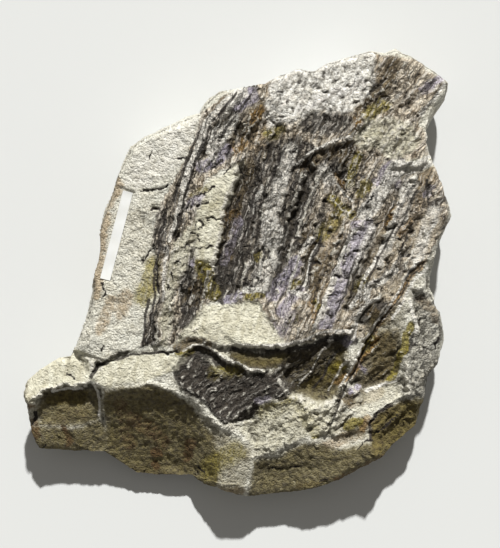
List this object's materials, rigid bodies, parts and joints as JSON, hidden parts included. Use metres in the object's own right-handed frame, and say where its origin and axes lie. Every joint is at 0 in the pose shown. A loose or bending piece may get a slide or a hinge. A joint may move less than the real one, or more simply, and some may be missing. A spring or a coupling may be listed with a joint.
{
  "type": "fossil lycopsid plate",
  "caption": "Broken slab of grey-green stone with the ribbed, scarred bark of a fossil clubmoss tree on its face, a rounded knob at one corner, and a paper strip stuck near its edge.",
  "frame": {"origin": "centre of the bounding box at its lowest level, on the flat back that the plate lies on", "axes": "+Z out of the fossil face, +Y towards the top of the plate as it is shown, +X to the right of the fossil face"},
  "size_m": [0.371, 0.391, 0.0635],
  "materials": {
    "stone": "rough broken siltstone with a dull dark mineral film on the fossil bark",
    "label_paper": "matt white paper"
  },
  "bodies": {
    "root": {"plate": "stone", "paper_label": "label_paper"}
  },
  "joints": []
}
